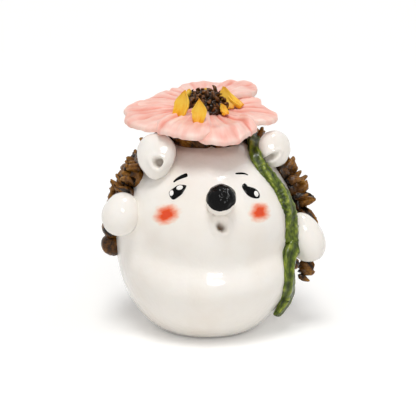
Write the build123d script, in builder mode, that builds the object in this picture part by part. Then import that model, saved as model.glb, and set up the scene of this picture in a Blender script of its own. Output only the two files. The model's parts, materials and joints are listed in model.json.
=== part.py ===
from build123d import *
import os
from math import asin, atan, ceil, cos, degrees, pi, radians, sin, sqrt

# Hand-built ceramic hedgehog ornament. The origin is the middle of its foot, and it faces -Y.
# Places on the body are two angles in degrees: the azimuth from the front, positive towards +X,
# and the elevation seen from the middle of the head lobe or of the belly lobe.

# Body
belly_radius = 30.4
foot_radius = 15.75
head_radius = 30.0
lobe_step = 11.0
crease_radius = 9.0
wall = 4.0
overrun = 1.0

# Face
mouth_width = 4.0
mouth_bore = 2.4
snout_radius = 5.6
snout_lift = 1.6
nose_radius = 5.0
nose_lift = 4.8
enamel = 0.3
eye_length = 6.6
eye_breadth = 3.8
brow_length = 5.2
brow_breadth = 1.1

# Ears and arms
left_ear_radius = 7.4
right_ear_radius = 6.5
ear_half_depth = 3.4
ear_lift = 4.6
ear_hole_width = 4.2
ear_hole_bore = 2.2
ear_hole_depth = 3.0
hand_radius = 6.2
shoulder_radius = 4.6
left_arm_half = 7.8
right_arm_half = 10.6
arm_lift = 3.6

# Quill coat
coat = 3.4
quill_radius = 2.8
quill_tip_radius = 1.2
quill_length = 6.4
left_quill_share = 0.7
fringe_length = 3.4
quill_pitch = 6.4
quill_sides = 5

# Flower
flower_rise = 8.0
flower_tilt = 13
petal_thickness = 2.3
petal_droop_radius = 300.0
petal_width = 25.0
petal_corner = 4.0
left_petal_length = 28.8
right_petal_length = 22.8
front_petal_length = 25.6
back_petal_length = 25.8
short_petal_length = 21.8
seat_radius = 7.0
heart_radius = 9.0
heart_rise = 5.8
knob_radius = 1.4
stamen_length = 9.6
stamen_width = 4.6
stamen_thickness = 1.6
stamen_lean = 30

# Stem
stem_radius = 2.3
stem_lift = 1.0
stem_hang = 8.4
stem_bend = 6.0
bud_radius = 2.4

os.makedirs("parts", exist_ok=True)
belly_height = sqrt(belly_radius**2 - foot_radius**2)
head_height = belly_height + lobe_step
flower_height = head_height + head_radius + flower_rise
head_lobe = (head_height, head_radius)
belly_lobe = (belly_height, belly_radius)


def keep(piece, name):
    piece.part.label = name
    export_step(piece.part, f"parts/{name}.step")


def place_on(lobe, azimuth, elevation, lift=0.0):
    # Plane that touches a lobe from outside, with its x to the viewer's right and its y upwards
    height, radius = lobe
    around = radians(azimuth)
    above = radians(elevation)
    across = Vector(cos(around), sin(around), 0)
    outward = Vector(sin(around) * cos(above), -cos(around) * cos(above), sin(above))
    return Plane(Vector(0, 0, height) + outward * (radius + lift), across, outward)


def clear_of(lobe, point, lift):
    # The point itself, or the nearest one outside it that stands off a lobe by the lift
    height, radius = lobe
    middle = Vector(0, 0, height)
    away = point - middle
    return middle + away.normalized() * max(away.length, radius + lift)


def upright_of(place):
    # Plane through the axis of a place: local x is its x, local y is its outward direction
    return Plane(place.origin, place.x_dir, place.y_dir * -1)


def turned(place, about_x=0, about_y=0, about_z=0):
    # The same plane, turned about its own axes
    return Plane(place.location * Rotation(about_x, about_y, about_z))


def crease_height(grow):
    belly = (belly_radius + grow) ** 2 - belly_height**2
    head = (head_radius + grow) ** 2 - head_height**2
    return (belly - head) / (head_height - belly_height) / 2


def make_lobes(grow, floor):
    # The belly and the head as one turned form, grown by a skin or shrunk by a wall
    belly_size = belly_radius + grow
    head_size = head_radius + grow
    crease = crease_height(grow)
    belly_start = degrees(asin((floor - belly_height) / belly_size))
    belly_end = degrees(asin((crease - belly_height) / belly_size))
    head_start = degrees(asin((crease - head_height) / head_size))
    with BuildPart() as lobes:
        with BuildSketch(Plane.XZ) as outline:
            with BuildLine():
                belly = CenterArc((0, belly_height), belly_size, belly_start, belly_end - belly_start)
                head = CenterArc((0, head_height), head_size, head_start, 90 - head_start)
                Polyline(head @ 1, (0, floor), belly @ 0)
            make_face()
            fillet(outline.vertices().sort_by(Axis.X)[-1], crease_radius)
        revolve(axis=Axis.Z)
    return lobes


# Body: a filled form that the other pieces are cut by, and the shell that is left after hollowing
body_form = make_lobes(0, 0)
hollow = make_lobes(-wall, wall)
with BuildPart() as body_shell:
    add(body_form.part)
    add(hollow.part, mode=Mode.SUBTRACT)
    with Locations(place_on(head_lobe, 0.5, 11)):
        CounterSinkHole(mouth_bore / 2, mouth_width / 2, wall + overrun, 70)
keep(body_shell, "body_shell")


# Snout and nose
with BuildPart() as snout:
    with Locations(place_on(head_lobe, 1.5, 25.5, snout_lift)):
        Sphere(snout_radius)
    add(body_form.part, mode=Mode.SUBTRACT)
keep(snout, "snout")

with BuildPart() as nose:
    with Locations(place_on(head_lobe, 1.5, 26.2, nose_lift)):
        Sphere(nose_radius)
    add(snout.part, mode=Mode.SUBTRACT)
    add(body_form.part, mode=Mode.SUBTRACT)
keep(nose, "nose")


# Eyes and brows: thin raised enamel on the head
def enamel_mark(name, azimuth, elevation, slant, length, breadth):
    place = place_on(head_lobe, azimuth, elevation)
    with BuildPart() as mark:
        with BuildSketch(turned(place, about_z=slant)):
            with BuildLine():
                ThreePointArc((-length / 2, 0), (0, breadth / 2), (length / 2, 0))
                ThreePointArc((length / 2, 0), (0, -breadth / 2), (-length / 2, 0))
            make_face()
        extrude(amount=wall, both=True)
        with Locations((0, 0, head_height)):
            Sphere(head_radius + enamel, mode=Mode.INTERSECT)
        add(body_form.part, mode=Mode.SUBTRACT)
    keep(mark, name)


enamel_mark("left_eye", -29, 32, 30, eye_length, eye_breadth)
enamel_mark("right_eye", 26.5, 31.5, -39, eye_length, eye_breadth)
enamel_mark("left_brow", -29.5, 41, 25, brow_length, brow_breadth)
enamel_mark("right_brow", 24, 43, -3, brow_length, brow_breadth)


# Plane of the flower, tipped towards the front
flower_up = Vector(0, -sin(radians(flower_tilt)), cos(radians(flower_tilt)))
flower = Plane((0, 0, flower_height), (1, 0, 0), flower_up)
droop_middle = flower.offset(-petal_droop_radius)

# Heart of the flower: a dome with small knobs on its crown
heart_base = flower.offset(petal_thickness)
dome_radius = (heart_radius**2 + heart_rise**2) / heart_rise / 2
dome_start = degrees(asin(1 - heart_rise / dome_radius))
with BuildPart() as flower_heart:
    with BuildSketch(upright_of(heart_base)):
        with BuildLine():
            dome = CenterArc((0, heart_rise - dome_radius), dome_radius, dome_start, 90 - dome_start)
            Polyline(dome @ 1, (0, 0), dome @ 0)
        make_face()
    revolve(axis=Axis(heart_base.origin, heart_base.z_dir))
    for share, count in ((0.3, 4), (0.62, 9)):
        knob_height = sqrt(dome_radius**2 - (heart_radius * share) ** 2) + heart_rise - dome_radius
        with Locations(heart_base.offset(knob_height)):
            with PolarLocations(heart_radius * share, count):
                Sphere(knob_radius)
keep(flower_heart, "flower_heart")


# Petals: two layers of drooping blades round the heart
def make_petal(name, angle, length, layer, neighbours, width_share):
    root_share, root_width_share, shoulder_share = 0.2, 0.13, 0.7
    root = length * root_share
    shoulder = length * shoulder_share
    shoulder_half = petal_width * width_share / 2
    root_half = petal_width * root_width_share
    with BuildPart() as petal:
        with BuildSketch(turned(flower, about_z=angle)) as outline:
            with BuildLine():
                tip = ThreePointArc((shoulder, -shoulder_half), (length, 0), (shoulder, shoulder_half))
                Polyline(tip @ 1, (root, root_half), (root, -root_half), tip @ 0)
            make_face()
            fillet(outline.vertices().group_by(Axis.X)[-1], petal_corner)
        extrude(amount=length / 2, both=True)
        with Locations(droop_middle):
            Sphere(petal_droop_radius + petal_thickness * (layer + 1), mode=Mode.INTERSECT)
            Sphere(petal_droop_radius + petal_thickness * layer, mode=Mode.SUBTRACT)
        for neighbour in neighbours:
            add(neighbour.part, mode=Mode.SUBTRACT)
    keep(petal, name)
    return petal


petal_1 = make_petal("petal_1", 192, left_petal_length, 0, [], width_share=1.04)
petal_3 = make_petal("petal_3", 88, back_petal_length, 0, [], width_share=0.86)
petal_2 = make_petal("petal_2", 140, short_petal_length, 0, [petal_1, petal_3], width_share=1)
petal_4 = make_petal("petal_4", 48, back_petal_length, 1, [flower_heart], width_share=0.7)
petal_6 = make_petal("petal_6", 286, front_petal_length, 0, [], width_share=1)
petal_5 = make_petal("petal_5", 357, right_petal_length, 0, [petal_6], width_share=0.96)
petal_7 = make_petal("petal_7", 240, front_petal_length, 1, [flower_heart], width_share=0.76)
petals = [petal_1, petal_2, petal_3, petal_4, petal_5, petal_6, petal_7]


# Ears: thick round pads that face forwards, each with a poked hollow
def make_ear(name, azimuth, elevation, facing, radius):
    seat = place_on(head_lobe, azimuth, elevation, ear_lift)
    look = place_on(head_lobe, *facing)
    place = Plane(seat.origin, look.x_dir, look.z_dir)
    with BuildPart() as pad:
        with BuildSketch(upright_of(place)):
            with BuildLine():
                rim = CenterArc((radius - ear_half_depth, 0), ear_half_depth, -90, 180)
                Polyline(rim @ 1, (0, ear_half_depth), (0, -ear_half_depth), rim @ 0)
            make_face()
        revolve(axis=Axis(place.origin, place.z_dir))
    with BuildPart() as ear:
        add(pad.part)
        with Locations(place.offset(ear_half_depth)):
            CounterSinkHole(ear_hole_bore / 2, ear_hole_width / 2, ear_hole_depth, 70)
        for petal in petals:
            add(petal.part, mode=Mode.SUBTRACT)
        add(body_form.part, mode=Mode.SUBTRACT)
    keep(ear, name)
    return pad, place.origin


# Arms: stubs that swell from the shoulder to a round hand
def make_arm(name, azimuth, elevation, droop, half_length):
    place = turned(place_on(head_lobe, azimuth, elevation, arm_lift), about_x=droop)
    hand = half_length - hand_radius
    shoulder = shoulder_radius - half_length
    slope = degrees(asin((shoulder_radius - hand_radius) / (hand - shoulder)))
    with BuildPart() as stub:
        with BuildSketch(upright_of(place)):
            with BuildLine():
                palm = CenterArc((0, hand), hand_radius, slope, 90 - slope)
                root = CenterArc((0, shoulder), shoulder_radius, -90, 90 + slope)
                Line(root @ 1, palm @ 0)
                Line(palm @ 1, root @ 0)
            make_face()
        revolve(axis=Axis(place.origin, place.z_dir))
    with BuildPart() as arm:
        add(stub.part)
        add(body_form.part, mode=Mode.SUBTRACT)
    keep(arm, name)
    return stub, place


left_pad, left_ear_middle = make_ear("left_ear", -52, 47, (-25, 10), left_ear_radius)
right_pad, right_ear_middle = make_ear("right_ear", 63, 48, (40, 10), right_ear_radius)
left_stub, left_arm_place = make_arm("left_arm", -70, 11, 75, left_arm_half)
right_stub, right_arm_place = make_arm("right_arm", 71, -4, 66, right_arm_half)

# Stem route: from under the flower, over the temple and down the side of the body
stem_route = [place_on(head_lobe, 60, 60, stem_hang).origin]
for azimuth, elevation in ((50, 56), (45, 47), (48, 35), (53, 23), (55.5, 9)):
    point = place_on(head_lobe, azimuth, elevation, stem_lift).origin
    stem_route.append(clear_of(belly_lobe, point, stem_lift))
for azimuth, elevation in ((54, 9), (53, -8), (60, -24), (60, -36)):
    point = place_on(belly_lobe, azimuth, elevation, stem_lift).origin
    stem_route.append(clear_of(head_lobe, point, stem_lift))

# Room that the quills leave free: the ears, the arms and the stem, as balls
free_room = [
    (left_ear_middle, left_ear_radius),
    (right_ear_middle, right_ear_radius),
    (left_arm_place.origin, left_arm_half),
]
for along in (-right_arm_half, 0, right_arm_half):
    free_room.append((right_arm_place.offset(along / 2).origin, hand_radius))
for point in stem_route:
    free_room.append((point, stem_radius))


def is_clear(place, length):
    for share in (0, 0.5, 1):
        spot = place.offset(length * share).origin
        for middle, radius in free_room:
            if (spot - middle).length < radius + quill_radius:
                return False
    return (spot - droop_middle.origin).length < petal_droop_radius - quill_radius


# Quill strips: a band of clay on the body, from one front edge round the back to the other,
# with one row of quills pulled out of it, shorter on the left side
def make_strip(name, lobe, low, high, left_edge, right_edge, length, lean, neighbours):
    height, radius = lobe
    turn = 360 - left_edge - right_edge
    edge = radians(right_edge)
    outward = Vector(sin(edge), -cos(edge), 0)
    section = Plane((0, 0, 0), outward, outward.cross(Vector(0, 0, 1)))
    middle = (low + high) / 2
    row = radians(turn) * (radius + coat) * cos(radians(middle))
    count = ceil(row / quill_pitch)
    left_quills = []
    right_quills = []
    for index in range(count):
        azimuth = right_edge + turn * (index + 0.5) / count
        place = place_on(lobe, azimuth, middle, coat / 2)
        place = turned(place, lean + 10 * sin(index * 2.4), 10 * cos(index * 2.4), 40 * index)
        if is_clear(place, length):
            side = left_quills if azimuth > 180 else right_quills
            side.append(place)
    narrowing = (quill_radius - quill_tip_radius) * cos(pi / quill_sides)
    with BuildPart() as band:
        with BuildSketch(section):
            with BuildLine():
                outer = CenterArc((0, height), radius + coat, low, high - low)
                inner = CenterArc((0, height), radius - overrun, low, high - low)
                Line(outer @ 0, inner @ 0)
                Line(outer @ 1, inner @ 1)
            make_face()
        revolve(axis=Axis.Z, revolution_arc=turn)
        for quills, reach in ((right_quills, length), (left_quills, length * left_quill_share)):
            if quills:
                with BuildSketch(*quills):
                    RegularPolygon(quill_radius, quill_sides)
                extrude(amount=reach, taper=degrees(atan(narrowing / reach)))
        for neighbour in neighbours:
            add(neighbour.part, mode=Mode.SUBTRACT)
    with BuildPart() as strip:
        add(band.part)
        add(body_form.part, mode=Mode.SUBTRACT)
    keep(strip, name)
    return band


bands = [make_strip("quill_strip_1", head_lobe, 64, 74, 0, 0, fringe_length, 25, [])]
crease = crease_height(0)
head_bottom = degrees(asin((crease - head_height) / (head_radius + coat)))
head_step = (64 - head_bottom) / 6
head_rows = (
    (55, 75, [left_pad, right_pad, bands[0]]),
    (66, 80, [left_pad, right_pad]),
    (70, 78, [left_pad, right_pad]),
    (70, 80, [left_stub]),
    (82, 86, [left_stub, right_stub]),
    (88, 88, [left_stub, right_stub]),
)
for index, (left_edge, right_edge, lumps) in enumerate(head_rows):
    high = 64 - head_step * index
    low = high - head_step
    name = f"quill_strip_{index + 2}"
    bands.append(make_strip(name, head_lobe, low, high, left_edge, right_edge, quill_length, 0, lumps))
belly_top = degrees(asin((crease - belly_height) / (belly_radius + coat)))
for index, (left_edge, right_edge) in enumerate(((92, 92), (134, 98), (140, 106))):
    high = belly_top - 12 * index
    name = f"quill_strip_{index + 8}"
    bands.append(make_strip(name, belly_lobe, high - 12, high, left_edge, right_edge, quill_length, 8, []))

# Seat: the pad of clay between the crown and the petals
with BuildPart() as flower_seat:
    with BuildSketch(flower):
        Circle(seat_radius)
    extrude(amount=-flower_height / 2)
    with Locations(droop_middle):
        Sphere(petal_droop_radius, mode=Mode.INTERSECT)
    add(bands[0].part, mode=Mode.SUBTRACT)
    add(body_form.part, mode=Mode.SUBTRACT)
keep(flower_seat, "flower_seat")

# Stamens: leaf-shaped slabs that lean on the heart
def make_stamen(name, angle):
    side = turned(heart_base, about_z=angle)
    lean = radians(stamen_lean)
    outward = side.x_dir * cos(lean) + side.z_dir * sin(lean)
    upward = side.z_dir * cos(lean) - side.x_dir * sin(lean)
    foot = side.origin + side.x_dir * heart_radius + side.z_dir * (stamen_thickness / 2)
    half = stamen_length / 2
    with BuildPart() as stamen:
        with BuildSketch(Plane(foot + upward * half, side.y_dir, outward)):
            with BuildLine():
                ThreePointArc((0, -half), (stamen_width / 2, 0), (0, half))
                ThreePointArc((0, half), (-stamen_width / 2, 0), (0, -half))
            make_face()
        extrude(amount=stamen_thickness / 2, both=True)
        for piece in (flower_heart, petal_4, petal_7):
            add(piece.part, mode=Mode.SUBTRACT)
    keep(stamen, name)


for index, angle in enumerate((198, 249, 298, 346, 36, 87, 141)):
    make_stamen(f"stamen_{index + 1}", angle)

# Stem: a round strand pressed onto the body, with rounded ends and a bud beside the arm
with BuildPart() as stem:
    with BuildLine() as route:
        FilletPolyline(*stem_route, radius=stem_bend)
    with BuildSketch(Plane(route.line @ 0, z_dir=route.line % 0)):
        Circle(stem_radius)
    sweep()
    with Locations(route.line @ 0, route.line @ 1):
        Sphere(stem_radius)
    with Locations(place_on(head_lobe, 61, -5)):
        Sphere(bud_radius)
    for piece in (right_pad, right_stub, bands[1], bands[2], *petals[4:6]):
        add(piece.part, mode=Mode.SUBTRACT)
    add(body_form.part, mode=Mode.SUBTRACT)
keep(stem, "stem")
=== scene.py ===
import json
from math import asin, atan2, ceil, copysign, cos, exp, hypot, log, pi, radians, sin, sqrt, tan

import bpy
import numpy as np
from mathutils import Matrix, Vector, noise
from mathutils.bvhtree import BVHTree

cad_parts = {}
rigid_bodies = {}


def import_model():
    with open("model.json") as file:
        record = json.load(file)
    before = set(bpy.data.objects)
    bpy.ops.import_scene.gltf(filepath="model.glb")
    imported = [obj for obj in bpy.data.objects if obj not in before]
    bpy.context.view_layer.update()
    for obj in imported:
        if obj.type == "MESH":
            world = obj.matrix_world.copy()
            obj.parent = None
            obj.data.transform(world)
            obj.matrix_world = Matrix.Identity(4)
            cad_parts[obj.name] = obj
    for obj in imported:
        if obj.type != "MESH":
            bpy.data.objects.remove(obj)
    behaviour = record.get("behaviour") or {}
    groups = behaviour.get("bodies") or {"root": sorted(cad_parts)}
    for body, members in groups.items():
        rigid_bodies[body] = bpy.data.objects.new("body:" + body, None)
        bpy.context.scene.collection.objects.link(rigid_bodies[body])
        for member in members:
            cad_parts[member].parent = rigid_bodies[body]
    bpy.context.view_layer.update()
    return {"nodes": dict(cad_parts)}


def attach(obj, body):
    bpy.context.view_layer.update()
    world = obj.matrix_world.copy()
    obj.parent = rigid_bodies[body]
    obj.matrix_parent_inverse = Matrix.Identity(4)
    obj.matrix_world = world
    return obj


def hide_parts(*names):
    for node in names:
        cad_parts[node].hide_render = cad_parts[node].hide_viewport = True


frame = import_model()
scene = bpy.context.scene
scene.view_settings.view_transform = 'Standard'
mm = 0.001  # every size below is in millimetres, meshes are made in metres
print('frame loaded,', len(frame['nodes']), 'nodes')


# camera, set to the photograph's viewing angle
cameraLook = dict(azimuth=-7, elevation=14, distance=450, target=(1.37, 9.7, 39.29),
                  imagePx=416, focalPx=1285.7, sensor=36)


def direction(azimuth, elevation):
    a, e = radians(azimuth), radians(elevation)
    return Vector((sin(a) * cos(e), -cos(a) * cos(e), sin(e)))


eyeBack = direction(cameraLook['azimuth'], cameraLook['elevation'])
eyePoint = Vector(cameraLook['target']) + eyeBack * cameraLook['distance']
eyeTurn = (-eyeBack).to_track_quat('-Z', 'Y')
cameraData = bpy.data.cameras.new('camera')
cameraData.sensor_width = cameraLook['sensor']
cameraData.lens = cameraLook['focalPx'] * cameraLook['sensor'] / cameraLook['imagePx']
camera = bpy.data.objects.new('camera', cameraData)
camera.location = eyePoint * mm
camera.rotation_mode = 'QUATERNION'
camera.rotation_quaternion = eyeTurn
scene.collection.objects.link(camera)
scene.camera = camera


def pixelRay(px, py):  # direction through a pixel of the 416 px image
    half = cameraLook['imagePx'] / 2
    return (eyeTurn @ Vector((px - half, half - py, -cameraLook['focalPx']))).normalized()


# small tools for shapes
def smoothStep(low, high, x):
    t = min(1, max(0, (x - low) / (high - low)))
    return t * t * (3 - 2 * t)


def bell(x, width):
    return exp(-(x / width) ** 2)


def wobble(point, grain, seed=0):  # soft noise, about -1 to 1, with lumps of the grain's size
    return noise.noise(Vector(point) / grain + Vector((seed * 7.3, seed * 3.1, seed * 1.7)))


def spread(low, high, count, peak, width, gain):  # angles packed closer round a peak
    fine = np.linspace(low, high, 2000)
    weight = np.cumsum(1 + gain * np.exp(-((fine - peak) / width) ** 2))
    weight = (weight - weight[0]) / (weight[-1] - weight[0])
    return np.interp(np.linspace(0, 1, count), weight, fine)


def curveThrough(points, count, closed=False):  # Catmull-Rom points along hand-set points
    pts = [np.array(p, float) for p in points]
    n = len(pts)
    spans = n if closed else n - 1
    made = []
    for i in range(count):
        t = i / count * spans if closed else i / (count - 1) * spans
        k = min(int(t), spans - 1)
        f = t - k
        if closed:
            a, b, c, d = (pts[(k + j) % n] for j in (-1, 0, 1, 2))
        else:
            a, b, c, d = (pts[min(max(k + j, 0), n - 1)] for j in (-1, 0, 1, 2))
        made.append(0.5 * (2 * b + (c - a) * f + (2 * a - 5 * b + 4 * c - d) * f ** 2
                           + (3 * b - a - 3 * c + d) * f ** 3))
    return made


def ringFaces(rings, columns):  # rings of points between two poles; the poles come last
    faces = []
    for r in range(rings - 1):
        for c in range(columns):
            d = (c + 1) % columns
            faces.append((r * columns + c, r * columns + d, (r + 1) * columns + d, (r + 1) * columns + c))
    start, end = rings * columns, rings * columns + 1
    for c in range(columns):
        d = (c + 1) % columns
        faces.append((start, d, c))
        faces.append((end, (rings - 1) * columns + c, (rings - 1) * columns + d))
    return faces


def shellFaces(rows, columns):  # an upper and a lower sheet of points, joined round the rim
    low = rows * columns
    faces = []
    for r in range(rows - 1):
        for c in range(columns - 1):
            a = r * columns + c
            quad = (a, a + 1, a + columns + 1, a + columns)
            faces.append(quad)
            faces.append(tuple(low + i for i in reversed(quad)))
    rim = [c for c in range(columns)]
    rim += [r * columns + columns - 1 for r in range(1, rows)]
    rim += [(rows - 1) * columns + c for c in range(columns - 2, -1, -1)]
    rim += [r * columns for r in range(rows - 2, 0, -1)]
    for i, a in enumerate(rim):
        b = rim[(i + 1) % len(rim)]
        faces.append((b, a, low + a, low + b))
    return faces


def isInsideOut(points, faces):  # a closed skin that faces inwards encloses a negative volume
    spots = [Vector(p) for p in points]
    volume = 0
    for first, *others in faces:
        for b, c in zip(others, others[1:]):
            volume += spots[first].dot(spots[b].cross(spots[c]))
    return volume < 0


def makeMesh(name, points, faces, material, values=None):
    mesh = bpy.data.meshes.new(name)
    mesh.from_pydata([tuple(c * mm for c in p) for p in points], [], faces)
    if isInsideOut(points, faces):
        mesh.flip_normals()
    for key, numbers in (values or {}).items():
        layer = mesh.attributes.new(key, 'FLOAT', 'POINT')
        layer.data.foreach_set('value', np.array(numbers, np.float32))
    mesh.materials.append(material)
    mesh.shade_smooth()
    mesh.update()
    piece = bpy.data.objects.new(name, mesh)
    scene.collection.objects.link(piece)
    return piece


def seat(piece, slotName, *nodes):  # every piece is fired onto the one body
    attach(piece, 'root')
    if nodes:
        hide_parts(*nodes)
    return piece


# small tools for materials
def toLinear(hexColour):
    parts = [int(hexColour[i:i + 2], 16) / 255 for i in (1, 3, 5)]
    return [c / 12.92 if c <= 0.04045 else ((c + 0.055) / 1.055) ** 2.4 for c in parts] + [1]


def grainScale(size):  # texture scale that gives lumps of a size in millimetres
    return 1 / (size * mm)


def addNode(tree, kind, settings=None, links=None):  # a node given as a link's source lends its first output
    node = tree.nodes.new(kind if 'Node' in kind else 'ShaderNode' + kind)
    for key, value in (settings or {}).items():
        if key == 'stops':
            for place, colour in value[2:]:
                node.color_ramp.elements.new(place)
            for element, (place, colour) in zip(node.color_ramp.elements, sorted(value)):
                element.position = place
                element.color = toLinear(colour) if isinstance(colour, str) else (colour, colour, colour, 1)
        elif isinstance(key, str) and hasattr(node, key):
            setattr(node, key, value)
        else:
            node.inputs[key].default_value = value
    for key, source in (links or {}).items():
        socket = source.outputs[0] if isinstance(source, bpy.types.Node) else source
        tree.links.new(socket, node.inputs[key])
    return node


def newMaterial(name):
    material = bpy.data.materials.new(name)
    material.use_nodes = True
    material.node_tree.nodes.clear()
    return material, material.node_tree


def finishMaterial(tree, settings, links):
    shader = addNode(tree, 'BsdfPrincipled', settings, links)
    addNode(tree, 'OutputMaterial', None, {'Surface': shader})


# white glaze over smooth earthenware: thick, glassy, a touch creamier where it pools,
# with brushed orange cheeks under the glaze, a bare matt foot, and painted shade in the poked mouth and ear holes
glazeLook = dict(white='#F5F0E9', pool='#F0E8DE', cloud=18, hollow='#6B4E31', bare='#DCCFBC', footLine=0.7,
                 matt=0.75, gloss=0.14, ripple=3.6, rippleDepth=0.6, pit=0.8, pitDepth=0.1,
                 blushEdge='#F9B78C', blushMid='#EE6A18', blushCore='#E24200', blushStreak=2.2,
                 cheeks=[dict(at=(-16.2, -23.4, 46.0), half=(4.6, 9.0, 3.3), turn=20),
                         dict(at=(14.1, -24.9, 46.2), half=(4.2, 9.0, 3.4), turn=-14)])


def whiteGlaze():
    look = glazeLook
    material, tree = newMaterial('white_glazed_earthenware')
    place = addNode(tree, 'TexCoord').outputs['Object']
    cloud, ripple, pit = (addNode(tree, 'TexNoise', {'Scale': grainScale(look[key]), 'Detail': detail},
                                  {'Vector': place}) for key, detail in (('cloud', 3), ('ripple', 2), ('pit', 2)))
    base = addNode(tree, 'ValToRGB', {'stops': [(0.3, look['pool']), (0.56, look['white'])]}, {'Fac': cloud})
    for cheek in look['cheeks']:
        local = addNode(tree, 'Mapping',
                        {'vector_type': 'TEXTURE', 'Location': [c * mm for c in cheek['at']],
                         'Rotation': (0, -radians(cheek['turn']), 0), 'Scale': [h * mm for h in cheek['half']]},
                        {'Vector': place})
        far = addNode(tree, 'VectorMath', {'operation': 'LENGTH'}, {0: local}).outputs['Value']
        stretched = addNode(tree, 'Mapping', {'Scale': (1, 1, 1.8)}, {'Vector': local})
        streak = addNode(tree, 'TexNoise',
                         {'Scale': cheek['half'][0] / look['blushStreak'] / 2, 'Detail': 3, 'Roughness': 0.55},
                         {'Vector': stretched})
        fade = addNode(tree, 'Math', {'operation': 'MULTIPLY_ADD', 1: 0.9, 2: 0.62}, {0: streak})
        paint = addNode(tree, 'Math', {'operation': 'SUBTRACT'}, {0: fade, 1: far})
        cover = addNode(tree, 'ValToRGB', {'stops': [(0.0, 0), (0.7, 1.0), (0.3, 0.55)]}, {'Fac': paint})
        tone = addNode(tree, 'ValToRGB',
                       {'stops': [(0.05, look['blushEdge']), (0.8, look['blushCore']), (0.42, look['blushMid'])]},
                       {'Fac': paint})
        base = addNode(tree, 'Mix', {'data_type': 'RGBA'}, {0: cover, 6: base, 7: tone}).outputs[2]
    # painted shade: the mouth and ear holes turn brown where they are poked deeper
    hollow = addNode(tree, 'Attribute', {'attribute_name': 'hollow'}).outputs['Fac']
    base = addNode(tree, 'Mix', {'data_type': 'RGBA', 7: toLinear(look['hollow'])},
                   {0: hollow, 6: base}).outputs[2]
    height = addNode(tree, 'SeparateXYZ', None, {0: place}).outputs['Z']
    glazed = addNode(tree, 'Math', {'operation': 'GREATER_THAN', 1: look['footLine'] * mm}, {0: height})
    base = addNode(tree, 'Mix', {'data_type': 'RGBA', 6: toLinear(look['bare'])},
                   {0: glazed, 7: base}).outputs[2]
    gloss = addNode(tree, 'MapRange', {'To Min': look['matt'], 'To Max': look['gloss']}, {'Value': glazed})
    wave = addNode(tree, 'Bump', {'Strength': 0.35, 'Distance': look['rippleDepth'] * mm}, {'Height': ripple})
    skin = addNode(tree, 'Bump', {'Strength': 0.05, 'Distance': look['pitDepth'] * mm},
                   {'Height': pit, 'Normal': wave})
    finishMaterial(tree, {'IOR': 1.5, 'Specular IOR Level': 0.4, 'Coat Weight': 0.12, 'Coat Roughness': 0.06,
                          'Subsurface Weight': 0.08, 'Subsurface Radius': (0.004, 0.003, 0.002),
                          'Subsurface Scale': 0.3}, {'Base Color': base, 'Roughness': gloss, 'Normal': skin})
    return material


# brown oxide under clear glaze: painted shade makes it dark in the folds and at the roots, painted highlights make
# it ochre on the ridges and tips
quillGlazeLook = dict(deep='#1C0F03', brown='#5F3A10', warm='#90601F', ochre='#C2954A', patch=7, patchShare=0.3,
                      fleck=1.4, fleckShare=0.7, fleckDepth=0.5, roughness=0.24, shine=0.2)


def quillGlaze(name, look):
    material, tree = newMaterial(name)
    place = addNode(tree, 'TexCoord').outputs['Object']
    tone = addNode(tree, 'Attribute', {'attribute_name': 'ridge'}).outputs['Fac']
    patch = addNode(tree, 'TexNoise', {'Scale': grainScale(look['patch']), 'Detail': 3}, {'Vector': place})
    fleck = addNode(tree, 'TexNoise', {'Scale': grainScale(look['fleck']), 'Detail': 4, 'Roughness': 0.7},
                    {'Vector': place})
    for source, share in ((patch, look['patchShare']), (fleck, look['fleckShare'])):
        tone = addNode(tree, 'Math', {'operation': 'MULTIPLY_ADD', 1: share}, {0: source, 2: tone})
    base = addNode(tree, 'ValToRGB',
                   {'stops': [(0.42, look['deep']), (0.98, look['ochre']), (0.58, look['brown']),
                              (0.78, look['warm'])]},
                   {'Fac': tone})
    bump = addNode(tree, 'Bump', {'Strength': 0.6, 'Distance': look['fleckDepth'] * mm}, {'Height': fleck})
    finishMaterial(tree, {'Roughness': look['roughness'], 'IOR': 1.5, 'Specular IOR Level': look['shine']},
                   {'Base Color': base, 'Normal': bump})
    return material


# pink slip and yellow and green stains brushed lengthwise under glaze: satin, streaked from root to tip,
# darker in the strokes and paler on the rims, with painted shade in the petals' creases and the stem's grooves
brushLook = dict(fray=0.65, strokeShare=0.6, patchShare=0.5, patchDetail=3, relief=0.4, depth=0.3, glow={})
petalGlazeLook = dict(brushLook, strokes=12, lengths=1.2, fray=0.6, strokeShare=0.5, patch=6, patchShare=0.45,
                      patchDetail=2, relief=0.25, roughness=0.42, shine=0.25,
                      tones=[(0.38, '#E99483'), (0.82, '#FADCD0'), (0.6, '#F4BEB0')],
                      glow={'Subsurface Weight': 0.06, 'Subsurface Radius': (0.004, 0.002, 0.001)})
stamenGlazeLook = dict(brushLook, strokes=8, lengths=3, patch=3, roughness=0.38, shine=0.25,
                       tones=[(0.3, '#7E4208'), (0.9, '#F5CB4A'), (0.46, '#DE7E14'), (0.62, '#EDAA1C')])
stemGlazeLook = dict(brushLook, strokes=34, lengths=44, patch=2.6, roughness=0.28, shine=0.28,
                     tones=[(0.34, '#1F2A03'), (0.84, '#ACB24A'), (0.49, '#3E4C08'), (0.64, '#65751A')])


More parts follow.
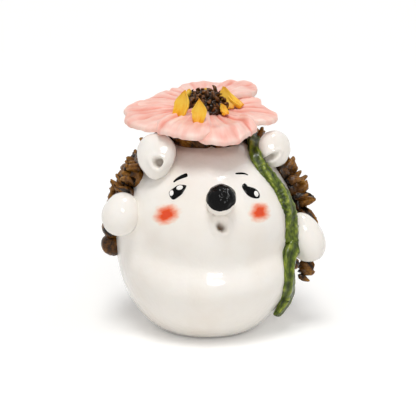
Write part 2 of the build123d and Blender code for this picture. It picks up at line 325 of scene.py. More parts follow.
def brushedGlaze(name, look):
    material, tree = newMaterial(name)
    place = addNode(tree, 'TexCoord').outputs['Object']
    along, across, tone = (addNode(tree, 'Attribute', {'attribute_name': key}).outputs['Fac']
                           for key in ('along', 'across', 'ridge'))
    lines = addNode(tree, 'CombineXYZ', None, {'X': across, 'Y': along})
    lines = addNode(tree, 'Mapping', {'Scale': (look['strokes'], look['lengths'], 1)}, {'Vector': lines})
    streak = addNode(tree, 'TexNoise', {'Scale': 1, 'Detail': 4, 'Roughness': look['fray']}, {'Vector': lines})
    patch = addNode(tree, 'TexNoise', {'Scale': grainScale(look['patch']), 'Detail': look['patchDetail']},
                    {'Vector': place})
    for source, share in ((streak, look['strokeShare']), (patch, look['patchShare'])):
        tone = addNode(tree, 'Math', {'operation': 'MULTIPLY_ADD', 1: share}, {0: source, 2: tone})
    base = addNode(tree, 'ValToRGB', {'stops': look['tones']}, {'Fac': tone})
    bump = addNode(tree, 'Bump', {'Strength': look['relief'], 'Distance': look['depth'] * mm},
                   {'Height': streak})
    finishMaterial(tree, {'Roughness': look['roughness'], 'IOR': 1.5, 'Specular IOR Level': look['shine'],
                          **look['glow']}, {'Base Color': base, 'Normal': bump})
    return material


# painted enamel: thick gloss paint with soft brush ridges, a little thinner in places
enamelLook = dict(brush=1.8, depth=0.15, roughness=0.12, shine=0.1)  # size and depth of the brush marks first


def paintEnamel(name, full, thin, look=enamelLook):
    material, tree = newMaterial(name)
    place = addNode(tree, 'TexCoord').outputs['Object']
    brush = addNode(tree, 'TexNoise', {'Scale': grainScale(look['brush']), 'Detail': 3}, {'Vector': place})
    base = addNode(tree, 'ValToRGB', {'stops': [(0.45, full), (0.85, thin)]}, {'Fac': brush})
    bump = addNode(tree, 'Bump', {'Strength': 0.5, 'Distance': look['depth'] * mm}, {'Height': brush})
    finishMaterial(tree, {'Roughness': look['roughness'], 'IOR': 1.5, 'Specular IOR Level': look['shine']},
                   {'Base Color': base, 'Normal': bump})
    return material


whiteMat = whiteGlaze()
quillMat = quillGlaze('brown_oxide_glaze', quillGlazeLook)
heartMat = quillGlaze('dark_oxide_glaze', dict(quillGlazeLook, deep='#180B01', brown='#3E2206', warm='#6C3E0E',
                                               ochre='#9A662C', patch=5, fleck=1.2))
petalMat = brushedGlaze('pink_slip_glaze', petalGlazeLook)
stamenMat = brushedGlaze('yellow_stain_glaze', stamenGlazeLook)
stemMat = brushedGlaze('green_stain_glaze', stemGlazeLook)
blackMat = paintEnamel('black_enamel', '#030303', '#100E0D')
noseMat = paintEnamel('black_gloss_glaze', '#010101', '#030303', dict(enamelLook, depth=1.2, shine=0.13))
lightMat = paintEnamel('white_enamel', '#F8F6F2', '#E4E0D8')
print('materials made')


# body: one egg of two lobes with a soft crease across the front, a poked mouth and a flat foot
bodyLook = dict(middle=31.5, belly=(26.0, 30.4), head=(37.0, 30.0), frontBlend=3, backBlend=7,
                creaseAt=32.5, creaseSag=4.4, creaseSpan=48, creaseDepth=2.6, creaseWidth=(7.5, 4.6),
                creaseReach=58, paunch=0.9, paunchDrop=9, paunchWidth=6, footBlend=2.4, hand=0.28, handGrain=16,
                columns=250, rows=150, mouthAt=(1.0, 43.1), mouthHalf=(1.9, 2.3), mouthSlant=-24,
                mouthDepth=3.2, mouthLip=0.35)


def lobeExit(lobe, look, rise):  # distance from the middle to a lobe's skin
    height, radius = lobe
    off = (look['middle'] - height) * rise
    return -off + sqrt(off ** 2 - (look['middle'] - height) ** 2 + radius ** 2)


def bodyPoint(azimuth, elevation, look=bodyLook):
    out = direction(azimuth, elevation)
    front = smoothStep(110, 40, abs(azimuth))
    blend = look['backBlend'] + (look['frontBlend'] - look['backBlend']) * front
    a, b = lobeExit(look['belly'], look, out.z), lobeExit(look['head'], look, out.z)
    soft = max(0, blend - abs(a - b)) / blend
    reach = max(a, b) + soft * soft * blend / 4
    point = Vector((0, 0, look['middle'])) + out * reach
    front = smoothStep(look['creaseReach'] + 25, look['creaseReach'] - 30, abs(azimuth))
    drop = point.z - look['creaseAt'] + look['creaseSag'] * bell(azimuth, look['creaseSpan'])
    reach -= front * look['creaseDepth'] * bell(drop, look['creaseWidth'][drop < 0])
    reach += front * look['paunch'] * bell(drop + look['paunchDrop'], look['paunchWidth'])
    reach += look['hand'] * wobble(point, look['handGrain'], 1)
    if out.z < 0:  # flat foot with a rounded edge
        floor = -look['middle'] / out.z
        soft = max(0, look['footBlend'] - abs(floor - reach)) / look['footBlend']
        reach = min(floor, reach) - soft * soft * look['footBlend'] / 4 * (floor > reach - look['footBlend'])
    dx, dz = point.x - look['mouthAt'][0], point.z - look['mouthAt'][1]
    turn = radians(look['mouthSlant'])
    poke = 0
    if point.y < 0:
        across = (dx * cos(turn) - dz * sin(turn)) / look['mouthHalf'][0]
        up = (dx * sin(turn) + dz * cos(turn)) / look['mouthHalf'][1]
        q = hypot(across, up)
        poke = 1 - smoothStep(0.35, 1.1, q)
        poke *= smoothStep(2.2, -1.2, up * 0.8 + across)  # deep at the lower left, smeared to the upper right
        reach += look['mouthLip'] * bell(q - 1.45, 0.4) - look['mouthDepth'] * poke
    point = Vector((0, 0, look['middle'])) + out * reach
    point.z = max(point.z, 0)
    return point, poke


def makeBody():
    look = bodyLook
    lifts = spread(-90, 90, look['rows'] + 2, 22, 13, 2.2)
    turns = spread(-180, 180, look['columns'] + 1, 0, 16, 2.2)[:-1]
    points, pokes = [], []
    for lift in lifts[1:-1]:
        for turn in turns:
            point, poke = bodyPoint(turn, lift)
            points.append(point)
            pokes.append(poke)
    for lift in (-90, 90):
        points.append(bodyPoint(0, lift)[0])
        pokes.append(0)
    faces = ringFaces(look['rows'], look['columns'])
    # painted shade in the mouth, darker where it is poked deeper
    hollow = [smoothStep(0.25, 0.95, p) for p in pokes]
    body = makeMesh('body', points, faces, whiteMat, {'hollow': hollow})
    return body, BVHTree.FromPolygons([p[:] for p in points], faces)


body, bodyTree = makeBody()
seat(body, 'white_glaze', 'body_shell')
print('body made')


def onBody(px, py):  # the place on the body that a pixel shows
    ray = pixelRay(px, py)
    spot, normal, index, far = bodyTree.ray_cast(eyePoint, ray)
    if spot is None:  # just past the outline, so the nearest place on it
        beside = eyePoint + ray * (Vector((0, 0, bodyLook['middle'])) - eyePoint).dot(ray)
        spot, normal, index, far = bodyTree.find_nearest(beside)
    return spot, normal


# eyes, brows and their lights: raised enamel, placed by pixels of the photograph
markLook = dict(rings=[(1.0, -0.5), (1.0, 0.05), (0.94, 0.2), (0.78, 0.27), (0.45, 0.3)], steps=44)


def makeMark(name, outline, material, lift=0.0):
    edge = curveThrough(outline, markLook['steps'], closed=True)
    middle = sum(edge) / len(edge)
    points = []
    for share, height in markLook['rings']:
        for p in edge:
            spot, normal = onBody(*(middle + (p - middle) * share))
            points.append(spot + normal * (height + lift))
    spot, normal = onBody(*middle)
    points += [spot - normal * 0.5, spot + normal * (0.31 + lift)]
    return makeMesh(name, points, ringFaces(len(markLook['rings']), markLook['steps']), material)


def ovalOutline(px, py, width, height, turn=0):
    t = radians(turn)
    made = []
    for k in range(10):
        a = 2 * pi * k / 10
        x, y = width / 2 * cos(a), height / 2 * sin(a)
        made.append((px + x * cos(t) - y * sin(t), py + x * sin(t) + y * cos(t)))
    return made


leftEyePx = [(169, 193.3), (170.7, 197.9), (174.2, 199.6), (180.7, 195.2), (183, 192.6), (186.2, 187.2),
             (185.6, 185.3), (179.1, 184.9), (174.2, 187.6), (170, 191)]
rightEyePx = [(244.3, 183.2), (242, 186.8), (246.8, 194.5), (252.6, 197.9), (258.5, 198.3), (259.8, 195.4),
              (258.2, 191.4), (254.3, 188.3), (249.5, 186.8), (246, 185.7)]
seat(makeMark('leftEye', leftEyePx, blackMat), 'black_glaze', 'left_eye')
seat(makeMark('rightEye', rightEyePx, blackMat), 'black_glaze', 'right_eye')
eyeLightsPx = [(179.9, 188, 6.9, 4.6, -18), (171.9, 193.3, 4.0, 5.8, 15), (255.8, 194.1, 4.2, 6.1, -20)]
for index, oval in enumerate(eyeLightsPx):  # middle, width, height and turn of each
    seat(makeMark(f'eyeLight{index + 1}', ovalOutline(*oval), lightMat, 0.16), 'white_glaze')


def makeStrand(name, line, widths, heights, material, columns, steps, under=0.6, groove=0.0, twist=0.0, ends=3):
    # a strand that lies on the body: line is (spot, normal) pairs, widths and heights are full sizes
    spots = curveThrough([s[:] for s, n in line], steps)
    normals = curveThrough([n[:] for s, n in line], steps)
    wide = curveThrough([(w,) for w in widths], steps)
    tall = curveThrough([(h,) for h in heights], steps)
    points, along, across, ridge = [], [], [], []
    for i in range(steps):
        ahead = Vector(spots[min(i + 1, steps - 1)]) - Vector(spots[max(i - 1, 0)])
        ahead.normalize()
        up = Vector(normals[i])
        side = ahead.cross(up).normalized()
        up = side.cross(ahead)
        t = i / (steps - 1)
        endShare = sqrt(max(0.02, 1 - max(0, 1 - t * steps / ends, 1 - (1 - t) * steps / ends) ** 2))
        for c in range(columns):
            a = 2 * pi * c / columns
            knots = wobble((t * 60, 1.5 * cos(a), 1.5 * sin(a)), 1, 4)
            fold = 1 + groove * cos(5 * a + twist * t) + groove * 1.6 * knots
            x = cos(a) * wide[i][0] / 2 * fold * endShare
            y = sin(a) * (tall[i][0] if sin(a) > 0 else under) * fold * endShare
            points.append(Vector(spots[i]) + side * x + up * y)
            along.append(t)
            across.append(a / 2 / pi)
            # painted shade: darker in the grooves of the twist, lighter on its raised parts
            ridge.append(0.1 * (fold - 1) / max(groove, 0.01))
    for i in (0, -1):
        points.append(Vector(spots[i]))
        along.append(0 if i == 0 else 1)
        across.append(0.5)
        ridge.append(0)
    return makeMesh(name, points, ringFaces(steps, columns), material,
                    {'along': along, 'across': across, 'ridge': ridge})


browLook = dict(leftPx=[(173.5, 182.2), (177, 179.3), (182, 176.7), (187.6, 174.6)],
                leftWide=[0.6, 1.05, 1.45, 1.65],
                rightPx=[(235.2, 173.7), (238, 173.5), (241.5, 173.4), (245, 173.8), (248, 175.1)],
                rightWide=[0.45, 0.7, 0.8, 0.6, 0.35], height=0.25)
for side in ('left', 'right'):
    line = [onBody(*p) for p in browLook[side + 'Px']]
    wide = browLook[side + 'Wide']
    brow = makeStrand(side + 'Brow', line, wide, [browLook['height']] * len(wide), blackMat, 12, 28, under=0.3)
    seat(brow, 'black_glaze', side + '_brow')
print('face marks made')


# lumps of clay: balls pulled about along three axes of their own
def makeLump(name, middle, axes, material, shape, rows=36, columns=48):
    x, y, z = (Vector(a).normalized() for a in axes)
    facings = []
    for r in range(1, rows + 1):
        for c in range(columns):
            theta, phi = pi * r / (rows + 1), 2 * pi * c / columns
            facings.append((sin(theta) * cos(phi), sin(theta) * sin(phi), cos(theta)))
    # painted shade in holes, passed on from the shape
    points, hollow = [], []
    for facing in facings + [(0, 0, 1), (0, 0, -1)]:
        local, poke = shape(Vector(facing))
        points.append(Vector(middle) + x * local[0] + y * local[1] + z * local[2])
        hollow.append(poke)
    return makeMesh(name, points, ringFaces(rows, columns), material, {'hollow': hollow})


def axesFacing(azimuth, elevation):  # x to the viewer's right, y up, z outwards
    z = direction(azimuth, elevation)
    x = Vector((cos(radians(azimuth)), sin(radians(azimuth)), 0))
    return x, z.cross(x), z


earLook = dict(
    left=dict(middle=(-18.5, -14.0, 63.2), facing=(-22, 12), half=(6.3, 7.6, 4.3), narrow=0.16,
              hole=(1.7, -2.0), holeHalf=(1.75, 1.75), holeTurn=0, depth=3.2, corner=3),
    right=dict(middle=(21.3, -9.6, 63.8), facing=(28, 12), half=(5.6, 6.1, 4.0), narrow=0.05,
               hole=(-3.5, -2.6), holeHalf=(1.2, 2.3), holeTurn=-55, depth=2.4, corner=2))


def makeEar(side):
    look = earLook[side]
    a, b, c = look['half']

    def shape(d):
        narrow = 1 + look['narrow'] * d.y
        p = Vector((d.x * a * narrow, d.y * b, copysign(abs(d.z) ** 0.8, d.z) * c))
        p *= 1 + 0.035 * wobble(d * 10, 5, 2 if side == 'left' else 3)
        t = radians(look['holeTurn'])
        hx, hy = p.x - look['hole'][0], p.y - look['hole'][1]
        u = (hx * cos(t) + hy * sin(t)) / look['holeHalf'][0]
        v = (hy * cos(t) - hx * sin(t)) / look['holeHalf'][1]
        q = hypot(u, v) * (1 + 0.07 * cos(look['corner'] * atan2(v, u) + 1.6))
        poke = 0
        if d.z > 0:
            poke = 1 - smoothStep(0.45, 1.15, q)
            p.z += 0.35 * bell(q - 1.5, 0.45) - look['depth'] * poke
        # painted shade in the ear hole, darker where it is poked deeper
        return p, 0.55 * smoothStep(0.3, 1, poke)

    ear = makeLump(side + 'Ear', look['middle'], axesFacing(*look['facing']), whiteMat, shape, 64, 72)
    seat(ear, 'white_glaze', side + '_ear')


armLook = dict(
    left=dict(middle=(-30.2, -12.3, 43.6), axis=(-0.25, -0.1, -1), half=(6.2, 6.0, 7.4), swell=0.06),
    right=dict(middle=(32.3, -10.6, 33.3), axis=(0.36, 0.0, -1), half=(6.0, 5.6, 9.0), swell=0.16))


def makeArm(side):
    look = armLook[side]
    z = Vector(look['axis']).normalized()
    x = Vector((1, 0, 0)) - z * z.x
    a, b, c = look['half']

    def shape(d):
        fat = 1 + look['swell'] * d.z
        p = Vector((d.x * a * fat, d.y * b * fat, d.z * c))
        return p * (1 + 0.025 * wobble(d * 10, 6, 5 if side == 'left' else 6)), 0

    arm = makeLump(side + 'Arm', look['middle'], (x, z.cross(x), z), whiteMat, shape, 40, 48)
    seat(arm, 'white_glaze', side + '_arm')


for side in ('left', 'right'):
    makeEar(side)
    makeArm(side)

# nose: a white ball with a black cap brushed over its upper front
noseLook = dict(middle=(0.9, -29.5, 51.9), radius=5.0, ball=4.75, ballShift=(-0.35, 0.2, -0.75),
                planes=34, flat=0.93, soft=34, capAxis=(-7, 42), capAngle=77, jag=3, coat=0.1,
                rings=44, columns=96)


def noseSkin(d):  # reach of a ball dabbed into small flat facets with worn edges, never inside the white ball
    look = noseLook
    shift = Vector(look['ballShift'])
    ball = d.dot(shift) + sqrt(d.dot(shift) ** 2 - shift.length_squared + look['ball'] ** 2)
    total = exp(-look['soft'])
    for k in range(look['planes']):
        rise = 1 - 2 * (k + 0.5) / look['planes']
        turn = k * 2.39996 + 0.4 * sin(k * 1.7)
        wide = sqrt(1 - rise * rise)
        facing = d.dot(Vector((cos(turn) * wide, sin(turn) * wide, rise)))
        if facing > 0.6:
            total += exp(-look['soft'] * (look['flat'] + 0.02 * sin(k * 2.9)) / facing)
    return max(-log(total) / look['soft'] * look['radius'], ball + 0.04)


def makeNose():
    look = noseLook
    seat(makeLump('snoutBall', Vector(look['middle']) + Vector(look['ballShift']), axesFacing(-7, 20), whiteMat,
                  lambda d: (d * look['ball'] * (1 + 0.015 * wobble(d * 10, 5, 7)), 0)), 'white_glaze', 'snout')
    middle, (x, y, z) = Vector(look['middle']), axesFacing(*look['capAxis'])
    rings, columns = look['rings'], look['columns']
    points = []
    for r in range(1, rings + 1):
        for c in range(columns):
            phi = 2 * pi * c / columns
            rimSpot = (cos(phi) * 9, sin(phi) * 9, 0)
            edge = look['capAngle'] + look['jag'] * (wobble(rimSpot, 3, 9) + 0.5 * wobble(rimSpot, 0.9, 9))
            theta = radians(edge * min(r / (rings - 2), 1))
            d = x * sin(theta) * cos(phi) + y * sin(theta) * sin(phi) + z * cos(theta)
            if r <= rings - 2:
                reach = noseSkin(d) + look['coat']
            else:  # the last two rings turn in, under the edge of the cap
                reach = look['radius'] * (0.9 if r == rings - 1 else 0.5)
            points.append(middle + d * reach)
    points += [middle + z * (noseSkin(z) + look['coat']), middle]
    seat(makeMesh('noseCap', points, ringFaces(rings, columns), noseMat), 'black_glaze', 'nose')


makeNose()
print('ears, arms and nose made')


# quills: a few folded finger shapes, set out in rows on the strips of the coat
quillLook = dict(rings=6, columns=8, fold=0.6, coat=3.2, lumps=1.0, pitch=6.4, fillSize=0.8, tuftSize=0.66,
                 tilt=10, room=0.2,
                 sweeps=[(285, 52, -60, 0.42), (80, 32, 26, 0.25)],  # azimuth, reach, degrees back, share cut
                 shapes=[dict(length=8.6, half=2.9, bend=2.4, twist=1.5, tip=0.42, flat=0.72),
                         dict(length=7.9, half=3.1, bend=-1.8, twist=-1.3, tip=0.62, flat=0.66),
                         dict(length=9.0, half=2.6, bend=3.0, twist=2.3, tip=0.34, flat=0.8),
                         dict(length=7.2, half=3.2, bend=1.4, twist=0.9, tip=0.7, flat=0.6)])


def makeQuillShape(index, shape, scale):
    rings, columns = quillLook['rings'], quillLook['columns']
    points, ridge = [], []
    for r in range(rings):
        s = r / (rings - 1)
        girth = shape['half'] * (0.8 + 0.75 * s - (1.55 - shape['tip']) * s ** 1.9)
        shift = Vector((shape['bend'] * s ** 2, 0.5 * sin(s * 3 + index), shape['length'] * s - 1.2))
        for c in range(columns):
            a = 2 * pi * c / columns
            fold = 1 - quillLook['fold'] * bell(atan2(sin(a - pi), cos(a - pi)), 0.6)
            fold -= 0.22 * bell(atan2(sin(a - 0.9), cos(a - 0.9)), 0.4)
            t = a + shape['twist'] * s
            out = Vector((cos(t) * girth * fold, sin(t) * girth * fold * shape['flat'], 0))
            points.append((shift + out) * scale)
            # painted shade and highlights: darker at the root and in the fold, lighter on the ridge and towards the
            # tip
            ridge.append(0.3 * s + 0.7 * (fold - 0.85) - 0.1)
    points += [Vector((0, 0, -1.2)) * scale, (shift + Vector((0.2, 0, 0.4))) * scale]
    ridge += [-0.2, 0.25]
    quill = makeMesh(f'quillShape{index}', points, ringFaces(rings, columns), quillMat, {'ridge': ridge})
    scene.collection.objects.unlink(quill)
    return quill


def quillCollection(name, shapes, scale):
    group = bpy.data.collections.new(name)
    for index, shape in enumerate(shapes):
        group.objects.link(makeQuillShape(index, shape, scale))
    return group


def plantTree(name, group, material):
    # the mesh's root points each get a random shape of the group, aimed along their own direction
    tree = bpy.data.node_groups.new(name, 'GeometryNodeTree')
    sockets = {}
    tree.interface.new_socket('Geometry', in_out='INPUT', socket_type='NodeSocketGeometry')
    for label, kind, value in (('Seed', 'NodeSocketInt', 1), ('Smallest', 'NodeSocketFloat', 0.9),
                               ('Largest', 'NodeSocketFloat', 1.1)):
        socket = tree.interface.new_socket(label, in_out='INPUT', socket_type=kind)
        socket.default_value = value
        sockets[label] = socket.identifier
    tree.interface.new_socket('Geometry', in_out='OUTPUT', socket_type='NodeSocketGeometry')
    inputs = addNode(tree, 'NodeGroupInput').outputs
    roots, aim, girth = (addNode(tree, 'GeometryNodeInputNamedAttribute', {'data_type': kind, 'Name': label})
                         for label, kind in (('root', 'BOOLEAN'), ('aim', 'FLOAT_VECTOR'),
                                             ('size', 'FLOAT_VECTOR')))
    parts = addNode(tree, 'GeometryNodeSeparateGeometry', {'domain': 'POINT'},
                    {'Geometry': inputs['Geometry'], 'Selection': roots})
    dots = addNode(tree, 'GeometryNodeMeshToPoints', None, {'Mesh': parts})
    shapes = addNode(tree, 'GeometryNodeCollectionInfo',
                     {'Collection': group, 'Separate Children': True, 'Reset Children': True})
    facing = addNode(tree, 'FunctionNodeAlignRotationToVector', {'axis': 'Z'}, {'Vector': aim})
    spin = addNode(tree, 'FunctionNodeRandomValue', {'data_type': 'FLOAT', 2: 0.0, 3: 2 * pi},
                   {'Seed': inputs['Seed']})
    spin = addNode(tree, 'FunctionNodeAxisAngleToRotation', {'Axis': (0, 0, 1)}, {'Angle': spin.outputs[1]})
    turned = addNode(tree, 'FunctionNodeRotateRotation', {'rotation_space': 'LOCAL'}, {0: facing, 1: spin})
    pick = addNode(tree, 'FunctionNodeRandomValue', {'data_type': 'INT', 4: 0, 5: len(group.objects) - 1},
                   {'Seed': inputs['Seed']})
    size = addNode(tree, 'FunctionNodeRandomValue', {'data_type': 'FLOAT'},
                   {2: inputs['Smallest'], 3: inputs['Largest'], 'Seed': inputs['Seed']})
    size = addNode(tree, 'VectorMath', {'operation': 'SCALE'}, {0: girth, 'Scale': size.outputs[1]})
    copies = addNode(tree, 'GeometryNodeInstanceOnPoints', {'Pick Instance': True},
                     {'Points': dots, 'Instance': shapes, 'Instance Index': pick.outputs[2],
                      'Rotation': turned, 'Scale': size})
    both = addNode(tree, 'GeometryNodeJoinGeometry')
    tree.links.new(copies.outputs[0], both.inputs[0])
    tree.links.new(parts.outputs[1], both.inputs[0])
    real = addNode(tree, 'GeometryNodeRealizeInstances', None, {0: both})
    painted = addNode(tree, 'GeometryNodeSetMaterial', {'Material': material}, {'Geometry': real})
    addNode(tree, 'NodeGroupOutput', None, {0: painted})
    return tree, sockets


def plantOn(name, points, faces, ridge, roots, material, tree, sockets, settings):
    # a base mesh plus root points (spot, aim, size); the tree's result is kept as a plain mesh
    count = len(points)
    piece = makeMesh(name, list(points) + [r[0] for r in roots], faces, material,
                     {'ridge': list(ridge) + [0] * len(roots)})
    flags = piece.data.attributes.new('root', 'BOOLEAN', 'POINT')
    flags.data.foreach_set('value', [False] * count + [True] * len(roots))
    for place, key in ((1, 'aim'), (2, 'size')):
        vectors = piece.data.attributes.new(key, 'FLOAT_VECTOR', 'POINT')
        vectors.data.foreach_set('vector', [1] * count * 3 + [c for r in roots for c in r[place]])
    modifier = piece.modifiers.new('plant', 'NODES')
    modifier.node_group = tree
    for label, value in settings.items():
        modifier[sockets[label]] = value
    graph = bpy.context.evaluated_depsgraph_get()
    mesh = bpy.data.meshes.new_from_object(piece.evaluated_get(graph))
    piece.modifiers.remove(modifier)
    piece.data = mesh
    mesh.shade_smooth()
    return piece


# room that the quills leave free round the ears, the arms and the stem
freeRoom = [(Vector(earLook['left']['middle']), 7.0), (Vector(earLook['right']['middle']), 6.0),
            (Vector(armLook['left']['middle']), 6.4), (Vector((29.4, -10.8, 39.5)), 5.6),
            (Vector((33.8, -10.4, 30.2)), 6.2)]


def isClear(spot, aim, length):
    for share in (0, 0.5, 1):
        for middle, radius in freeRoom:
            if (spot + aim * length * share - middle).length < radius + quillLook['room']:
                return False
    return True


stripLook = dict(
    rows=[dict(lobe='head', lift=(67.5, 75), edges=(0, 0), size=0.5, lean=25),
          dict(lobe='head', lift=(52, 64), edges=(55, 75)),
          dict(lobe='head', lift=(40, 52), edges=(66, 80),
               extra=[(141, 165, -0.5, 0.5, 0.4, 2.0), (135, 167, -0.5, 0.4, 0.36, 2.2),
                      (281, 166, 0.7, 0.4, 0.5)]),
          dict(lobe='head', lift=(28, 40), edges=(70, 78),
               extra=[(143, 174, -0.6, 0.3, 0.5, 1.8), (137, 176, -0.5, 0.2, 0.48, 2.0),
                      (131, 178, -0.4, 0.3, 0.38, 2.3), (284, 174, 0.8, 0.2, 0.6), (287, 168, 0.8, 0.3, 0.5)]),
          dict(lobe='head', lift=(16, 28), edges=(70, 80),
               extra=[(139, 184, -0.6, 0.1, 0.55, 1.7), (132, 186, -0.5, 0, 0.52, 1.8),
                      (126, 188, -0.4, 0, 0.4, 2.2), (134, 193, -0.4, -0.4, 0.52, 1.7),
                      (289, 185, 0.9, 0.1, 0.6), (292, 179, 0.9, 0.2, 0.5)]),
          dict(lobe='head', lift=(4, 16), edges=(82, 86),
               extra=[(121, 196, -0.5, -0.4, 0.45, 2.0), (114, 204, -0.4, -0.7, 0.45, 2.0),
                      (109, 213, -0.3, -0.9, 0.42, 2.0),
                      (295, 197, 0.9, 0, 0.65), (297, 191, 0.9, 0.1, 0.6), (301, 203, 0.9, 0, 0.65)]),
          dict(lobe='head', lift=(-8, 4), edges=(84, 88), bulge=2.8,
               extra=[(303, 212, 0.9, -0.2, 0.7), (307, 220, 0.9, -0.3, 0.65)]),
          dict(lobe='belly', lift=(-0.2, 11.8), edges=(86, 92), lean=8, bulge=3.2),
          dict(lobe='belly', lift=(-12.2, -0.2), edges=(134, 98), lean=8,
               extra=[(306, 262, 0.8, -0.4, 0.7), (299, 269, 0.5, -0.7, 0.6), (296, 274, 0.1, -0.9, 0.45)]),
          dict(lobe='belly', lift=(-24.2, -12.2), edges=(140, 106), lean=8)],
    steps=(9, 120), under=-1.5, size=0.92, endReach=5, endRound=3.5)


def quillRoots(lobe, lift, edges, size, lean, shift):  # one row of quills, evenly spaced by about the pitch
    height, radius = lobe
    turn = 360 - edges[0] - edges[1]
    count = ceil(radians(turn) * (radius + 2) * cos(radians(lift)) / quillLook['pitch'])
    made = []
    for index in range(count):
        azimuth = edges[1] + turn * (index + shift) / count
        x, y, z = axesFacing(azimuth, lift)
        tip = radians(lean + quillLook['tilt'] * sin(index * 2.4))
        swept = [(bell(azimuth - at, reach), back, cut) for at, reach, back, cut in quillLook['sweeps']]
        nod = radians(quillLook['tilt'] * cos(index * 2.4) + sum(near * back for near, back, cut in swept))
        aim = (z - y * tan(tip) + x * tan(nod)).normalized()
        spot = Vector((0, 0, height)) + z * (radius + quillLook['coat'] * 0.5)
        if isClear(spot, aim, 7 * size):
            made.append((spot, aim, (size, size, size * (1 - sum(near * cut for near, back, cut in swept)))))
    return made


def extraRoots(extras):  # quills beside the face: pixel, aim right and up in the picture, size, stoutness
    made = []
    for px, py, right, up, size, *stout in extras:
        girth = size * (stout[0] if stout else 1.5)
        spot, normal = onBody(px, py)
        aim = (normal * 0.4 + eyeTurn @ Vector((right, up, 0))).normalized()
        made.append((spot + normal * quillLook['coat'] * 0.75, aim, (girth, girth, size)))
    return made


def makeStrip(index, row, tree, sockets):  # a lumpy band of clay with its quills
    lobe = bodyLook[row['lobe']]
    height, radius = lobe
    rows, columns = stripLook['steps']
    low, high = row['lift']
    points, ridge = [], []
    for sheet in (quillLook['coat'], stripLook['under']):
        for r in range(rows):
            for c in range(columns):
                turn = row['edges'][1] + (360 - row['edges'][0] - row['edges'][1]) * c / (columns - 1)
                nearEnd = min(c, columns - 1 - c)
                endShare = sqrt(max(0.1, 1 - max(0, 1 - nearEnd / stripLook['endRound']) ** 2))
                out = direction(turn, (low + high) / 2 + (high - low) * (r / (rows - 1) - 0.5) * endShare)
                swell = sheet
                if sheet > 0:
                    swell = sheet * min(1, 0.35 + nearEnd / 3 * 0.65)
                    swell += quillLook['lumps'] * wobble(out * radius, 4, 11)
                    fromEnd = (columns - 1 - c) / stripLook['endReach']
                    swell += row.get('bulge', 0) * bell(fromEnd - 1, 0.9) * sin(pi * r / (rows - 1)) ** 0.5
                points.append(Vector((0, 0, height)) + out * (radius + swell))
                ridge.append(0.04 + 0.35 * wobble(out * radius, 3, 13))
    size, lean = row.get('size', stripLook['size']), row.get('lean', 0)
    roots = []
    for lift, share, shift in (((low + high) / 2, 1, 0.5), (low + 0.6, quillLook['fillSize'], 0.02),
                               (high - 2.2, quillLook['tuftSize'], 0.3)):
        roots += quillRoots(lobe, lift, row['edges'], size * share, lean, shift)
    roots += extraRoots(row.get('extra', []))
    strip = plantOn(f'quillStrip{index + 1}', points, shellFaces(rows, columns), ridge, roots, quillMat,
                    tree, sockets, {'Seed': 3 + index, 'Smallest': 0.88, 'Largest': 1.0})
    seat(strip, 'quill_glaze', f'quill_strip_{index + 1}')


quillShapes = quillCollection('quillShapes', quillLook['shapes'], 1.0)
quillTree, quillSockets = plantTree('plantQuills', quillShapes, quillMat)
for index, row in enumerate(stripLook['rows']):
    makeStrip(index, row, quillTree, quillSockets)
print('quill coat made')


# flower: petals, heart and stamens in a frame of their own, tipped towards the front
flowerLook = dict(middle=(0, 0, 75), tilt=13)
flowerFrame = Matrix.Translation(flowerLook['middle']) @ Matrix.Rotation(radians(flowerLook['tilt']), 4, 'X')

petalLooks = [
    dict(angle=192, half=35, lift=1.2, rims=[23, 26.4, 28.2, 27.6, 29, 28.6, 27.2, 24.8, 21.5],
         rise=[0, 0.2, 0.5, 0.4, 0.1], creases=[(-0.6, 0.6), (-0.3, 0.8), (-0.05, 0.5), (0.2, 0.7), (0.45, 0.4)]),
    dict(angle=140, half=33, lift=1.3, rims=[19, 20.6, 20, 21.2, 20.8, 22, 23.4, 24],
         rise=[0, 0.3, 0.5, 0.4, 0.1], creases=[(-0.5, 0.5), (-0.1, 0.6), (0.35, 0.6), (0.7, 0.4)]),
    dict(angle=88, half=31, lift=1.2, rims=[19.5, 24, 25.8, 26, 25, 22.5, 19.5],
         rise=[0, 0.1, 0.3, 0.3, 0], creases=[(-0.3, 0.4), (0.3, 0.5)]),
    dict(angle=48, half=25, lift=3.2, rims=[17, 22, 24.8, 25.6, 24.8, 22, 16.5],
         rise=[0, 0.1, 0.2, 0.2, 0], creases=[(-0.15, 0.35), (0.4, 0.3)]),
    dict(angle=357, half=40, lift=1.2, rims=[20, 22.8, 24, 23.2, 20.4, 19, 19.8, 19.8, 17],
         rise=[0, -0.2, 0.3, 0.4, 0.2], creases=[(-0.4, 0.6), (-0.1, 0.7), (0.3, 0.5), (0.7, 0.5)]),
    dict(angle=286, half=38, lift=1.5, rims=[20.5, 23.6, 25.2, 26, 26, 24.8, 23, 21.8, 21.2, 18],
         rise=[0, -0.8, -0.5, 0.9, -0.6], creases=[(0.05, 0.3), (0.55, 0.8)]),
    dict(angle=240, half=27, lift=2.5, rims=[22, 25.2, 25.4, 25.2, 25.8, 25.4, 22],
         rise=[0, -0.3, 0, 0.3, -0.3], creases=[(-0.62, 0.7), (0.1, 0.4), (0.5, 0.4)])]
petalCommon = dict(rows=30, columns=41, root=4.0, thick=2.2, lip=0.35, tremble=0.55, grain=4.5, wrinkle=0.45,
                   droop=300)


def makeLeaf(name, rows, columns, shape, material):
    # an upper and a lower sheet; shape turns a place on them into a spot, its brush stroke and its ridge
    points, along, across, ridge = [], [], [], []
    for side in (0.5, -0.5):
        for r in range(rows):
            for c in range(columns):
                u, v = r / (rows - 1), 2 * c / (columns - 1) - 1
                spot, stroke, tone = shape(u, v, r, c, side)
                points.append(spot)
                along.append(u)
                across.append(stroke)
                ridge.append(tone)
    leaf = makeMesh(name, points, shellFaces(rows, columns), material,
                    {'along': along, 'across': across, 'ridge': ridge})
    smooth = leaf.modifiers.new('round', 'SUBSURF')
    smooth.levels = smooth.render_levels = 1
    return leaf


